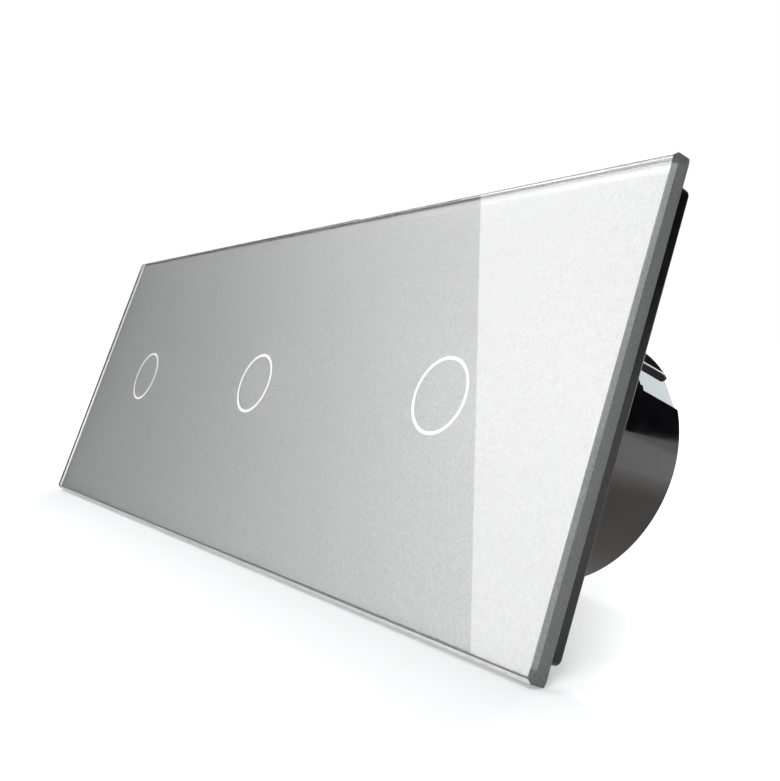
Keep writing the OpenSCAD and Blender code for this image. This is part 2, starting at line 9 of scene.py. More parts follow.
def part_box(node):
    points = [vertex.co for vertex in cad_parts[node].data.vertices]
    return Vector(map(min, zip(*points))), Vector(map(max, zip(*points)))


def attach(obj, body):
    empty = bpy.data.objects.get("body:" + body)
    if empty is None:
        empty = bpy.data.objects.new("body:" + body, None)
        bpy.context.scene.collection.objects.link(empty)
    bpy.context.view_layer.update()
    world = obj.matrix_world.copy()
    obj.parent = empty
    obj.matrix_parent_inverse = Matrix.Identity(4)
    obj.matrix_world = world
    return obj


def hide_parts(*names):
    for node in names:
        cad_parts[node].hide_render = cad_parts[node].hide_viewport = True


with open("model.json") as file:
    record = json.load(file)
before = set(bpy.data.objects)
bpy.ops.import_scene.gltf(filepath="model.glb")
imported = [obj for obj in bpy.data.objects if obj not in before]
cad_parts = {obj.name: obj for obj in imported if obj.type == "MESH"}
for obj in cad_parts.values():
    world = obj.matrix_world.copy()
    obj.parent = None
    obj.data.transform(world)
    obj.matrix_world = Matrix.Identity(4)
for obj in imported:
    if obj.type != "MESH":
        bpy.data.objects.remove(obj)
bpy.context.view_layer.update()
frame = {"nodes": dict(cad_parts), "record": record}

# Sizes in millimetres, read from the frame where a node gives them

MM = 0.001


def node_box(node):
    """The node's lowest and highest corners in millimetres."""
    low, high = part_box(node)
    return Vector(low) / MM, Vector(high) / MM


glass_low, glass_high = node_box("glass_panel")
paint_low, paint_high = node_box("silver_paint")
ring_low, ring_high = node_box("ring_marks")
frame_low, frame_high = node_box("panel_frame")
mount_low, mount_high = node_box("mount_frame_mid")
body_high = node_box("rear_housing_mid")[1]
cover_low, cover_high = node_box("front_cover_mid")
guide_low, guide_high = node_box("light_guide_mid")
spring_low, spring_high = node_box("touch_spring_mid")
screw_low, screw_high = node_box("terminal_screw_mid_2")

# Places along X, each with the ending of its nodes' names
PITCH = node_box("mount_frame_right")[0].x - mount_low.x
TERM_PITCH = node_box("terminal_screw_mid_3")[0].x - screw_low.x
MODULES = (("left", -PITCH), ("mid", 0.0), ("right", PITCH))
TERMINALS = (("1", -TERM_PITCH), ("2", 0.0), ("3", TERM_PITCH))
TERM_Z = (screw_low.z + screw_high.z) / 2

# The glass, its paint and the printed rings
GLASS_CHAMFER = 0.65
GLASS_ARRIS = 0.06
LONG_ARRIS = 0.18
# How far each corner is ground off, across and down: at the front, below the chamfer and at the back
CORNER_FRONT = (0.1, 1.5)
CORNER_SIDE = (0.5, 2.0)
CORNER_BACK = (0.2, 0.8)
PAINT_INSET = 0.13  # the paint stops just short of the glass's long edges
PAINT_END = 1.6  # and further from its ends
PAINT_GRIP = 0.01  # how far the paint's front lies inside the glass, so that no air shows between them
PRINT_GRIP = 0.03
BORDER_W, BORDER_FADE = 0.9, 0.05  # the paint is smoother in a border along the long edges
RING_LINE = 0.6
RING_R = ring_high.x - PITCH - RING_LINE / 2

# The panel frame
FRAME_CORNER = 1.1
FRAME_ROUND = 0.5
FRAME_EDGE = 0.12
RIM_T, RIM_CORNER = 1.3, 0.8
FLANGE_T = 0.8
WINDOW_W, WINDOW_H, WINDOW_CORNER = 60.0, 62.0, 0.5
TONGUE_W, TONGUE_T, TONGUE_CORNER = 8.0, 1.2, 0.3
TONGUE_TIP = 0.8
TIP_W, TIP_T = TONGUE_W - 0.8, TONGUE_T - 0.5
TONGUE_OFF = 0.7  # from the window's edge
TONGUE_Z = WINDOW_H / 2 + TONGUE_OFF + TONGUE_T / 2
TONGUE_FIT = 0.2

# The mount frame
MOUNT_CORNER = 3.0
MOUNT_ROUND = 0.25
MOUNT_EDGE = 0.15
MOUNT_HOLE_R = 22.0
BOX_SPACING = 60.0
SLOT_L, SLOT_W = 7.0, 4.0

# The rear housing
BODY_R, BODY_DEPTH, FLAT_Z = body_high
BODY_WALL, REAR_WALL, FLAT_WALL = 2.2, 1.6, 1.8
BODY_ROUND = 0.6
BODY_EDGE = 0.16
GROOVE_ANGLE = 35.0
GROOVE_W, GROOVE_DEPTH, GROOVE_L = 7.4, 1.0, 10.5
POCKET_W, POCKET_DEPTH, POCKET_L = 5.4, 1.5, 6.0
DRIVER_R, DRIVER_FLARE = 2.4, 0.35
ENTRY_R, ENTRY_FLARE = 1.9, 0.45
ENTRY_Y = 15.2
RECESS_R, RECESS_DEPTH = 20.4, 0.4
COLLAR_R = DRIVER_R + 0.55
GAUGE_L, GAUGE_W, GAUGE_Z = 9.0, 1.4, 8.5
EJECTOR_R = 1.6
EJECTORS = ((-12.0, -8.0), (12.0, -8.0), (0.0, -15.0))

# The front cover and its screws
COVER_R, COVER_T = cover_high.x, 1.6
COVER_ROUND = 0.3
COVER_EDGE = 0.12
COVER_GROOVE = (11.5, 12.3)
COVER_GROOVE_DEPTH = 0.3
SPIGOT_R, SPIGOT_T = 21.7, 3.3
GUIDE_HOLE_R = 8.6
SCREW_X = SPIGOT_R - SPIGOT_T / 2
SCREW_FIT = 0.15
SCREW_R, SCREW_L = 0.95, 9.0
SCREW_EDGE = 0.06
HEAD_R, HEAD_T, HEAD_ROUND = 2.0, 1.1, 0.5
POINT_R, POINT_L = 0.4, 0.6
CROSS_ARM, CROSS_W, CROSS_DEPTH = 1.2, 0.7, 0.5

# The light guide and the touch spring
GUIDE_T = 2.2
GUIDE_ROUND = 0.35
GUIDE_EDGE = 0.1
GUIDE_FOOT_T = 1.2
SPRING_TURNS, SPRING_R, WIRE_R = 3, 4.0, 0.3
WIRE_EDGE = 0.08

# The terminal screw
TERM_HEAD_R, TERM_HEAD_T, TERM_HEAD_ROUND = 2.2, 1.8, 0.4
TERM_R = 1.5
TERM_POINT = 0.3
TERM_SLOT_W, TERM_SLOT_DEPTH = 0.8, 0.9
THREAD_DEPTH, THREAD_PITCH = 0.12, 0.5
THREAD_START, THREAD_PLAIN = 0.3, 0.6

# How far a cutter runs past the face it cuts, how close two points are one, and the sides of round pieces
CUT = 1.0
MERGE = 0.005
HOLE_STEPS, GUIDE_STEPS, RING_STEPS, BODY_STEPS = 48, 96, 128, 192


# Outlines in X and Z, and the solids made from them


def round_rect(w, h, r, steps=8):
    """A rectangle with round corners."""
    points = []
    for k, (sx, sz) in enumerate(((1, 1), (-1, 1), (-1, -1), (1, -1))):
        for i in range(steps + 1):
            a = math.radians(90 * (k + i / steps))
            points.append((sx * (w / 2 - r) + r * math.cos(a), sz * (h / 2 - r) + r * math.sin(a)))
    return points


def cut_rect(w, h, cut):
    """A rectangle with its corners cut off, by one amount along X and another along Z."""
    x, z = w / 2, h / 2
    a, b = x - cut[0], z - cut[1]
    return [(x, b), (a, z), (-a, z), (-x, b), (-x, -b), (-a, -z), (a, -z), (x, -b)]


def circle(r, steps):
    angles = [2 * math.pi * i / steps for i in range(steps)]
    return [(r * math.cos(a), r * math.sin(a)) for a in angles]


def slot_outline(length, width, steps=12):
    """A slot with round ends along X."""
    r = width / 2
    points = []
    for i in range(steps + 1):
        a = math.radians(-90 + 180 * i / steps)
        points.append((length / 2 - r + r * math.cos(a), r * math.sin(a)))
    return points + [(-x, -z) for x, z in points]


def cross_outline(arm, width):
    """A cross with four equal arms."""
    half = width / 2
    corner = [(arm, -half), (arm, half), (half, half)]
    points = []
    for _ in range(4):
        points += corner
        corner = [(-z, x) for x, z in corner]
    return points


def quarter_round(r, steps=4):
    """Pairs of inset and depth along a rounded edge, from the side to the face."""
    angles = [math.radians(90 * i / steps) for i in range(steps + 1)]
    return [(r * (1 - math.cos(a)), r * math.sin(a)) for a in angles]


def solid(name, verts, faces):
    """A closed mesh object from points in millimetres, with its faces turned outwards."""
    mesh = bpy.data.meshes.new(name)
    work = bmesh.new()
    points = [work.verts.new(Vector(v) * MM) for v in verts]
    for face in faces:
        work.faces.new([points[i] for i in face])
    bmesh.ops.recalc_face_normals(work, faces=work.faces)
    work.to_mesh(mesh)
    work.free()
    piece = bpy.data.objects.new(name, mesh)
    bpy.context.collection.objects.link(piece)
    return piece


def loft(name, levels):
    """A solid through outlines of equal count, each given with its depth Y."""
    count = len(levels[0][0])
    verts = [(x, y, z) for outline, y in levels for x, z in outline]
    faces = [range(count), range(len(verts) - count, len(verts))]
    for k in range(len(levels) - 1):
        for i in range(count):
            j = (i + 1) % count
            faces.append((k * count + i, k * count + j, (k + 1) * count + j, (k + 1) * count + i))
    return solid(name, verts, faces)


def prism(name, outline, y0, y1):
    return loft(name, [(outline, y0), (outline, y1)])


def block(name, low, high):
    outline = [(low[0], low[2]), (high[0], low[2]), (high[0], high[2]), (low[0], high[2])]
    return prism(name, outline, low[1], high[1])


def lathe(name, profile, steps, hollow=False):
    """A solid turned about Y from a profile of radius and depth, which closes on itself if hollow."""
    count = len(profile)
    verts = [(x, y, z) for r, y in profile for x, z in circle(r, steps)]
    faces = [] if hollow else [range(steps), range((count - 1) * steps, count * steps)]
    for k in range(count if hollow else count - 1):
        a, b = k * steps, (k + 1) % count * steps
        for i in range(steps):
            j = (i + 1) % steps
            faces.append((a + i, a + j, b + j, b + i))
    return solid(name, verts, faces)


def drill(name, r, y0, y1, flare=0.0, flare_at=None):
    """A round cutter along Y, with a rounded mouth of size flare at the depth flare_at."""
    if not flare:
        return lathe(name, [(r, y0), (r, y1)], HOLE_STEPS)
    sign = 1 if flare_at > (y0 + y1) / 2 else -1
    inner = y0 if sign > 0 else y1
    mouth = [(r + inset, flare_at - sign * (flare - depth)) for inset, depth in quarter_round(flare)]
    outer = flare_at + sign * CUT
    return lathe(name, [(r, inner)] + mouth + [(r + flare, outer)], HOLE_STEPS)


def shift(piece, x=0.0, y=0.0, z=0.0):
    """The piece with its mesh moved, in millimetres."""
    piece.data.transform(Matrix.Translation(Vector((x, y, z)) * MM))
    return piece


def turn(piece, angle, axis="Y"):
    """The piece with its mesh turned about an axis of the part, by an angle in degrees."""
    piece.data.transform(Matrix.Rotation(math.radians(angle), 4, axis))
    return piece


def apply_modifiers(piece):
    depsgraph = bpy.context.evaluated_depsgraph_get()
    mesh = bpy.data.meshes.new_from_object(piece.evaluated_get(depsgraph))
    piece.modifiers.clear()
    piece.data = mesh


def carve(piece, cutters, operation="DIFFERENCE"):
    """The piece cut by, or joined with, each of the other solids, which are then deleted."""
    for cutter in cutters:
        modifier = piece.modifiers.new("carve", "BOOLEAN")
        modifier.operation = operation
        modifier.solver = "EXACT"
        modifier.object = cutter
    apply_modifiers(piece)
    for cutter in cutters:
        bpy.data.objects.remove(cutter)
    return piece


def merge_close(piece):
    """The piece without the tiny edges that cutting leaves."""
    work = bmesh.new()
    work.from_mesh(piece.data)
    bmesh.ops.remove_doubles(work, verts=work.verts, dist=MERGE * MM)
    bmesh.ops.dissolve_degenerate(work, edges=work.edges, dist=MERGE * MM)
    work.to_mesh(piece.data)
    work.free()
    return piece


def soften(piece, width, angle=30, segments=2):
    """Small rounded edges, with the broad faces kept flat in the shading."""
    piece.data.polygons.foreach_set("use_smooth", [True] * len(piece.data.polygons))
    bevel = piece.modifiers.new("edges", "BEVEL")
    bevel.width = width * MM
    bevel.segments = segments
    bevel.limit_method = "ANGLE"
    bevel.angle_limit = math.radians(angle)
    bevel.harden_normals = False
    normals = piece.modifiers.new("shading", "WEIGHTED_NORMAL")
    normals.keep_sharp = True
    return piece


def place(piece, body, slot, *nodes):
    """The finished piece on its body, in place of the nodes, with its slot's material if it has none."""
    if not piece.data.materials:
        piece.data.materials.append(MATERIALS[slot])
    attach(piece, body)
    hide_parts(*nodes)
    return piece


def copies(piece, name, places):
    """The piece once at each place along X, sharing one mesh, with the ending of each copy's name."""
    found = []
    for ending, x in places:
        copy = piece.copy()
        copy.name = f"{name}_{ending}"
        copy.location.x = x * MM
        bpy.context.collection.objects.link(copy)
        found.append((ending, copy))
    bpy.data.objects.remove(piece)
    return found


# Nodes that the materials are made of


def new_material(name, **sockets):
    """A material with one Principled shader. A socket's words are joined by underscores in its keyword."""
    material = bpy.data.materials.new(name)
    material.use_nodes = True
    shader = material.node_tree.nodes["Principled BSDF"]
    for key, value in sockets.items():
        shader.inputs[key.replace("_", " ")].default_value = value
    return material, material.node_tree, shader


def bare_material(name):
    """A material with no shader yet, and its nodes."""
    material = bpy.data.materials.new(name)
    material.use_nodes = True
    material.node_tree.nodes.clear()
    return material, material.node_tree


def finish_material(tree, shader):
    """The material's output, fed by a shader."""
    end = tree.nodes.new("ShaderNodeOutputMaterial")
    tree.links.new(shader, end.inputs["Surface"])


def position(tree):
    """The X, Y and Z of each point in its object."""
    coordinate = tree.nodes.new("ShaderNodeTexCoord")
    split = tree.nodes.new("ShaderNodeSeparateXYZ")
    tree.links.new(coordinate.outputs["Object"], split.inputs["Vector"])
    return split.outputs["X"], split.outputs["Y"], split.outputs["Z"]


def calculate(tree, operation, *values):
    """The result of one sum on sockets and numbers."""
    node = tree.nodes.new("ShaderNodeMath")
    node.operation = operation
    for socket, value in zip(node.inputs, values):
        if isinstance(value, float):
            socket.default_value = value
        else:
            tree.links.new(value, socket)
    return node.outputs["Value"]


def noise(tree, size, detail=2.0, stretch=(1, 1, 1)):
    """Noise with grains of a size in millimetres, longer along an axis by its stretch."""
    coordinate = tree.nodes.new("ShaderNodeTexCoord")
    mapping = tree.nodes.new("ShaderNodeMapping")
    mapping.inputs["Scale"].default_value = [1 / (size * MM * s) for s in stretch]
    texture = tree.nodes.new("ShaderNodeTexNoise")
    texture.inputs["Scale"].default_value = 1.0
    texture.inputs["Detail"].default_value = detail
    tree.links.new(coordinate.outputs["Object"], mapping.inputs["Vector"])
    tree.links.new(mapping.outputs["Vector"], texture.inputs["Vector"])
    return texture.outputs["Fac"]


def cells(tree, size):
    """Random values in cells of a size in millimetres, one value to each cell."""
    coordinate = tree.nodes.new("ShaderNodeTexCoord")
    texture = tree.nodes.new("ShaderNodeTexVoronoi")
    texture.inputs["Scale"].default_value = 1 / (size * MM)
    tree.links.new(coordinate.outputs["Object"], texture.inputs["Vector"])
    split = tree.nodes.new("ShaderNodeSeparateColor")
    tree.links.new(texture.outputs["Color"], split.inputs["Color"])
    return split.outputs["Red"]


def colour_range(tree, shader, source, dark, light, low=0.35, high=0.65):
    """The base colour runs from dark to light as the source runs from low to high."""
    ramp = tree.nodes.new("ShaderNodeValToRGB")
    ramp.color_ramp.elements[0].position = low
    ramp.color_ramp.elements[1].position = high
    ramp.color_ramp.elements[0].color = (*dark, 1)
    ramp.color_ramp.elements[1].color = (*light, 1)
    tree.links.new(source, ramp.inputs["Fac"])
    tree.links.new(ramp.outputs["Color"], shader.inputs["Base Color"])


def value_range(tree, socket, source, start, end, low=0.35, high=0.65):
    """A socket's value runs from start to end as the source runs from low to high."""
    scale = tree.nodes.new("ShaderNodeMapRange")
    for key, value in (("From Min", low), ("From Max", high), ("To Min", start), ("To Max", end)):
        scale.inputs[key].default_value = value
    tree.links.new(source, scale.inputs["Value"])
    tree.links.new(scale.outputs["Result"], socket)


def relief(tree, shader, source, depth):
    """Bumps of a depth in millimetres."""
    bump = tree.nodes.new("ShaderNodeBump")
    bump.inputs["Strength"].default_value = 1.0
    bump.inputs["Distance"].default_value = depth * MM
    tree.links.new(source, bump.inputs["Height"])
    tree.links.new(bump.outputs["Normal"], shader.inputs["Normal"])


# Materials, each with the sizes of its grain in millimetres


def glass_material():
    material, tree, shader = new_material("clear_glass", IOR=1.52, Transmission_Weight=1.0)
    colour_range(tree, shader, noise(tree, 30), (0.966, 0.973, 0.971), (0.978, 0.984, 0.982))
    value_range(tree, shader.inputs["Roughness"], noise(tree, 9, 4), 0.0, 0.012)
    return material


def ground_material(name, dark, light):
    """Frosted glass with a trace green, in a tone given per facet: the tones are painted light and shade,
    as the edges share one ground finish.
    """
    material, tree, shader = new_material(name, IOR=1.52, Transmission_Weight=0.35)
    dark_tone = (dark, dark + 0.004, dark + 0.003)
    light_tone = (light, light + 0.005, light + 0.004)
    colour_range(tree, shader, noise(tree, 0.35), dark_tone, light_tone)
    value_range(tree, shader.inputs["Roughness"], noise(tree, 0.5), 0.4, 0.55)
    relief(tree, shader, noise(tree, 0.08), 0.01)
    return material


def silver_material():
    """Paint with fine flake, smoother in a border along its long edges."""
    material, tree, shader = new_material("silver_paint", Metallic=0.8)
    height = calculate(tree, "ABSOLUTE", position(tree)[2])
    border = (paint_high.z - BORDER_W) * MM
    fade = border + BORDER_FADE * MM
    value_range(tree, shader.inputs["Roughness"], height, 0.405, 0.16, border, fade)
    colour_range(tree, shader, cells(tree, 0.24), (0.67, 0.67, 0.67), (0.78, 0.78, 0.78), 0.0, 1.0)
    relief(tree, shader, noise(tree, 0.14, 1), 0.012)
    return material


def print_material():
    """White ink with a painted glow: the print emits light itself, standing in for light from the indicator
    lamps behind it.
    """
    # Painted glow: the print's own emission stands in for the lamps behind it
    material, tree, shader = new_material("white_print", Roughness=0.5, Emission_Strength=0.55)
    shader.inputs["Emission Color"].default_value = (1, 1, 1, 1)
    colour_range(tree, shader, noise(tree, 0.6), (0.91, 0.91, 0.91), (0.95, 0.95, 0.95))
    relief(tree, shader, noise(tree, 0.1), 0.004)
    return material


def frame_material():
    material, tree, shader = new_material("black_frame", IOR=1.34)
    colour_range(tree, shader, noise(tree, 1.2, 4), (0.004, 0.004, 0.005), (0.008, 0.008, 0.009))
    value_range(tree, shader.inputs["Roughness"], noise(tree, 2.5, 4), 0.13, 0.2)
    relief(tree, shader, noise(tree, 0.12), 0.012)
    return material


def gloss_material():
    material, tree, shader = new_material("gloss_black", IOR=1.62)
    colour_range(tree, shader, noise(tree, 4, 4), (0.003, 0.003, 0.004), (0.006, 0.006, 0.007))
    value_range(tree, shader.inputs["Roughness"], noise(tree, 3, 5), 0.03, 0.08)
    relief(tree, shader, noise(tree, 1.6, 1), 0.0012)
    return material


def moulding_material():
    material, tree, shader = new_material("black_moulding", IOR=1.5)
    colour_range(tree, shader, noise(tree, 1.0, 4), (0.018, 0.018, 0.019), (0.03, 0.03, 0.031))
    value_range(tree, shader.inputs["Roughness"], noise(tree, 1.5, 4), 0.45, 0.62)
    relief(tree, shader, noise(tree, 0.2), 0.02)
    return material


def zinc_material():
    """Plated sheet, brushed along X."""
    material, tree, shader = new_material("zinc_plate", Metallic=1.0)
    colour_range(tree, shader, noise(tree, 0.5, 4, (40, 1, 1)), (0.53, 0.54, 0.56), (0.65, 0.66, 0.68))
    value_range(tree, shader.inputs["Roughness"], noise(tree, 0.3, 4, (20, 1, 1)), 0.28, 0.46)
    relief(tree, shader, noise(tree, 0.12, 3, (24, 1, 1)), 0.003)
    return material


def screw_material():
    material, tree, shader = new_material("zinc_screw", Metallic=1.0)
    colour_range(tree, shader, noise(tree, 0.7, 4), (0.55, 0.55, 0.57), (0.74, 0.74, 0.75))
    value_range(tree, shader.inputs["Roughness"], noise(tree, 0.3, 3), 0.22, 0.4)
    relief(tree, shader, noise(tree, 0.1, 3), 0.004)
    return material


def iron_material():
    material, tree, shader = new_material("soft_iron", Metallic=1.0)
    colour_range(tree, shader, noise(tree, 1.0, 4), (0.42, 0.42, 0.43), (0.56, 0.56, 0.57))
    value_range(tree, shader.inputs["Roughness"], noise(tree, 0.4, 3), 0.3, 0.5)
    return material


def brass_material():
    material, tree, shader = new_material("contact_brass", Metallic=1.0)
    colour_range(tree, shader, noise(tree, 1.0, 4), (0.66, 0.48, 0.2), (0.8, 0.63, 0.33))
    value_range(tree, shader.inputs["Roughness"], noise(tree, 0.3, 3, (8, 1, 1)), 0.22, 0.4)
    return material


def winding_material():
    """Fine copper wire, wound side by side along Y."""
    material, tree, shader = new_material("copper_winding", Metallic=1.0, Roughness=0.3)
    colour_range(tree, shader, noise(tree, 0.1, 2, (40, 1, 40)), (0.45, 0.18, 0.07), (0.75, 0.38, 0.18))
    relief(tree, shader, noise(tree, 0.1, 1, (40, 1, 40)), 0.05)
    return material


def spring_material():
    material, tree, shader = new_material("spring_wire", Metallic=1.0)
    colour_range(tree, shader, noise(tree, 0.8, 4), (0.7, 0.52, 0.24), (0.83, 0.67, 0.38))
    value_range(tree, shader.inputs["Roughness"], noise(tree, 0.2, 3), 0.16, 0.3)
    return material


def board_material():
    """Green mask over raised copper tracks."""
    material, tree, shader = new_material("circuit_board", IOR=1.5)
    tracks = noise(tree, 1.6, 1, (1, 1, 5))
    colour_range(tree, shader, tracks, (0.008, 0.075, 0.03), (0.018, 0.13, 0.055), 0.47, 0.53)
    value_range(tree, shader.inputs["Roughness"], noise(tree, 2.0, 3), 0.22, 0.38)
    relief(tree, shader, tracks, 0.03)
    return material


def guide_material():
    material, tree, shader = new_material("clear_guide", IOR=1.49, Transmission_Weight=0.85)
    colour_range(tree, shader, noise(tree, 3), (0.9, 0.93, 0.94), (0.96, 0.97, 0.975))
    value_range(tree, shader.inputs["Roughness"], noise(tree, 1.2, 3), 0.12, 0.28)
    return material


def plain_material(name, dark, light, rough, grain):
    """A moulded, sleeved or cast piece, with a cloudy colour and a fine grain."""
    material, tree, shader = new_material(name, IOR=1.48)
    colour_range(tree, shader, noise(tree, grain * 4, 4), dark, light)
    value_range(tree, shader.inputs["Roughness"], noise(tree, grain * 2, 4), rough - 0.06, rough + 0.08)
    relief(tree, shader, noise(tree, grain), grain * 0.06)
    return material


MATERIALS = {
    "clear_glass": glass_material(),
    "silver_paint": silver_material(),
    "white_print": print_material(),
    "black_frame": frame_material(),
    "gloss_black": gloss_material(),
    "black_moulding": moulding_material(),
    "zinc_plate": zinc_material(),
    "zinc_screw": screw_material(),
    "soft_iron": iron_material(),
    "contact_brass": brass_material(),
    "copper_winding": winding_material(),
    "spring_wire": spring_material(),
    "circuit_board": board_material(),
    "clear_guide": guide_material(),
}
for name, dark, light, rough, grain in (
    ("foam_tape", (0.03, 0.03, 0.03), (0.055, 0.055, 0.055), 0.8, 0.3),
    ("lamp_resin", (0.8, 0.75, 0.45), (0.92, 0.9, 0.7), 0.3, 0.1),
    ("relay_base", (0.05, 0.05, 0.05), (0.08, 0.08, 0.08), 0.5, 0.2),
    ("relay_cover", (0.012, 0.06, 0.24), (0.02, 0.09, 0.32), 0.25, 0.2),
    ("capacitor_sleeve", (0.008, 0.01, 0.03), (0.015, 0.018, 0.05), 0.28, 0.3),
):
    MATERIALS[name] = plain_material(name, dark, light, rough, grain)

# The glass is clear, with one ground finish in three tones of painted light and shade: lighter on the end
# chamfers, darker on the end sides and darkest on the top corner facets
GLASS_FINISHES = {
    "clear": MATERIALS["clear_glass"],
    "chamfer": ground_material("painted_light_chamfer_glass", 0.21, 0.31),
    "side": ground_material("painted_shade_side_glass", 0.095, 0.14),
    "corner": ground_material("painted_shade_corner_glass", 0.05, 0.085),
}

for row in frame["record"]["subparts"]:
    node = frame["nodes"][row["node"]]
    node.data.materials.clear()
    node.data.materials.append(MATERIALS[row["material_slot"]])


# The panel: glass, paint, prints and frame


def glass_finish(face):
    """The finish of one face of the glass: ground at the ends and the lower arris, and clear elsewhere. The
    ground tones are painted light and shade, and the lower front arris takes the dark side tone as a
    painted shade line along the foot.
    """
    end_facing, low_facing = 0.3, -0.1
    corner_z = glass_high.z - CORNER_SIDE[1] - GLASS_CHAMFER
    depth, z = face.center.y / MM - glass_low.y, face.center.z / MM
    # Painted light and shade on the ends: the top corner facets darkest, the sides darker than the chamfers
    if abs(face.normal.x) > end_facing:
        if z > corner_z:
            return "corner"
        return "side" if depth > GLASS_CHAMFER or z < -corner_z else "chamfer"
    # Painted shade: the lower front arris takes the dark side tone, a dark line along the foot
    if face.normal.z < low_facing and depth < LONG_ARRIS / 2:
        return "side"
    return "clear"


def glass_panel():
    """A slab with a chamfer round its front and its corners cut off."""
    w, h = glass_high.x - glass_low.x, glass_high.z - glass_low.z
    front, back = glass_low.y, glass_high.y
    arris = LONG_ARRIS / 2
    levels = []
    for end_inset, long_inset, y, cut in (
        (GLASS_CHAMFER + GLASS_ARRIS, GLASS_CHAMFER + LONG_ARRIS, front, CORNER_FRONT),
        (GLASS_CHAMFER - arris, GLASS_CHAMFER - arris, front + arris, CORNER_FRONT),
        (GLASS_ARRIS / 2, GLASS_ARRIS / 2, front + GLASS_CHAMFER - GLASS_ARRIS / 2, CORNER_SIDE),
        (0, 0, front + GLASS_CHAMFER + GLASS_ARRIS, CORNER_SIDE),
        (0, 0, back - GLASS_ARRIS, CORNER_BACK),
        (GLASS_ARRIS, GLASS_ARRIS, back, CORNER_BACK),
    ):
        levels.append((cut_rect(w - 2 * end_inset, h - 2 * long_inset, cut), y))
    piece = loft("glass_slab", levels)
    for material in GLASS_FINISHES.values():
        piece.data.materials.append(material)
    finishes = list(GLASS_FINISHES)
    for face in piece.data.polygons:
        face.material_index = finishes.index(glass_finish(face))
    return place(piece, "panel", "clear_glass", "glass_panel")


def paint_film():
    w = paint_high.x - paint_low.x - 2 * PAINT_END
    h = paint_high.z - paint_low.z - 2 * PAINT_INSET
    piece = prism("silver_film", cut_rect(w, h, CORNER_BACK), paint_low.y - PAINT_GRIP, paint_high.y)
    return place(piece, "panel", "silver_paint", "silver_paint")


def ring_prints():
    """The three rings in one piece, each a thin printed band just in front of the paint."""
    front, back = ring_low.y - PRINT_GRIP, ring_low.y - (PAINT_GRIP + PRINT_GRIP) / 2
    inner, outer = RING_R - RING_LINE / 2, RING_R + RING_LINE / 2
    band = [(inner, front), (outer, front), (outer, back), (inner, back)]
    rings = [shift(lathe("ring_prints", band, RING_STEPS, True), x) for _, x in MODULES]
    carve(rings[0], rings[1:], "UNION")
    return place(rings[0], "panel", "white_print", "ring_marks")


def panel_frame():
    """The black frame with its round back edge, three windows and six tongues."""
    w, h = frame_high.x - frame_low.x, frame_high.z - frame_low.z
    front, back = frame_low.y, frame_high.y
    levels = [(round_rect(w, h, FRAME_CORNER), front)]
    for inset, depth in quarter_round(FRAME_ROUND, steps=6):
        outline = round_rect(w - 2 * inset, h - 2 * inset, FRAME_CORNER)
        levels.append((outline, back - FRAME_ROUND + depth))
    piece = loft("frame_moulding", levels)
    inside = round_rect(w - 2 * RIM_T, h - 2 * RIM_T, RIM_CORNER)
    cutters = [prism("rim_room", inside, front + FLANGE_T, back + CUT)]
    window = round_rect(WINDOW_W, WINDOW_H, WINDOW_CORNER)
    for _, x in MODULES:
        cutters.append(shift(prism("window", window, front - CUT, back + CUT), x))
    carve(piece, cutters)
    tongue = round_rect(TONGUE_W, TONGUE_T, TONGUE_CORNER)
    tip = round_rect(TIP_W, TIP_T, TONGUE_CORNER)
    levels = [(tongue, front + FLANGE_T / 2), (tongue, back - TONGUE_TIP), (tip, back)]
    tongues = []
    for _, x in MODULES:
        for z in (-TONGUE_Z, TONGUE_Z):
            tongues.append(shift(loft("tongue", levels), x, 0, z))
    carve(piece, tongues, "UNION")
    return place(soften(piece, FRAME_EDGE), "panel", "black_frame", "panel_frame")


# The modules


def mount_frame():
    """A plate with rounded edges, a middle hole, two screw slots and two tongue slots."""
    side = mount_high.x - mount_low.x
    front, back = mount_low.y, mount_high.y
    edge = quarter_round(MOUNT_ROUND, steps=3)
    rows = [(inset, front + MOUNT_ROUND - depth) for inset, depth in edge[::-1]]
    rows += [(inset, back - MOUNT_ROUND + depth) for inset, depth in edge]
    levels = [(round_rect(side - 2 * inset, side - 2 * inset, MOUNT_CORNER), y) for inset, y in rows]
    piece = loft("mount_plate", levels)
    cutters = [drill("middle", MOUNT_HOLE_R, front - CUT, back + CUT)]
    slot = slot_outline(SLOT_L, SLOT_W)
    for x in (-BOX_SPACING / 2, BOX_SPACING / 2):
        cutters.append(shift(prism("slot", slot, front - CUT, back + CUT), x))
    tongue = round_rect(TONGUE_W + 2 * TONGUE_FIT, TONGUE_T + 2 * TONGUE_FIT, TONGUE_CORNER)
    for z in (-TONGUE_Z, TONGUE_Z):
        cutters.append(shift(prism("tongue_slot", tongue, front - CUT, back + CUT), 0, 0, z))
    carve(piece, cutters)
    return soften(piece, MOUNT_EDGE)


def side_groove(angle):
    """The cutters of one side groove and of the latch pocket in front of it, by their angle above +X."""
    y = BODY_DEPTH - GROOVE_L
    groove = block(
        "groove",
        (BODY_R - GROOVE_DEPTH, y, -GROOVE_W / 2),
        (BODY_R + CUT, BODY_DEPTH + CUT, GROOVE_W / 2),
    )
    pocket = block(
        "pocket",
        (BODY_R - POCKET_DEPTH, y - POCKET_L, -POCKET_W / 2),
        (BODY_R + CUT, y + CUT, POCKET_W / 2),
    )
    return [turn(groove, -angle), turn(pocket, -angle)]


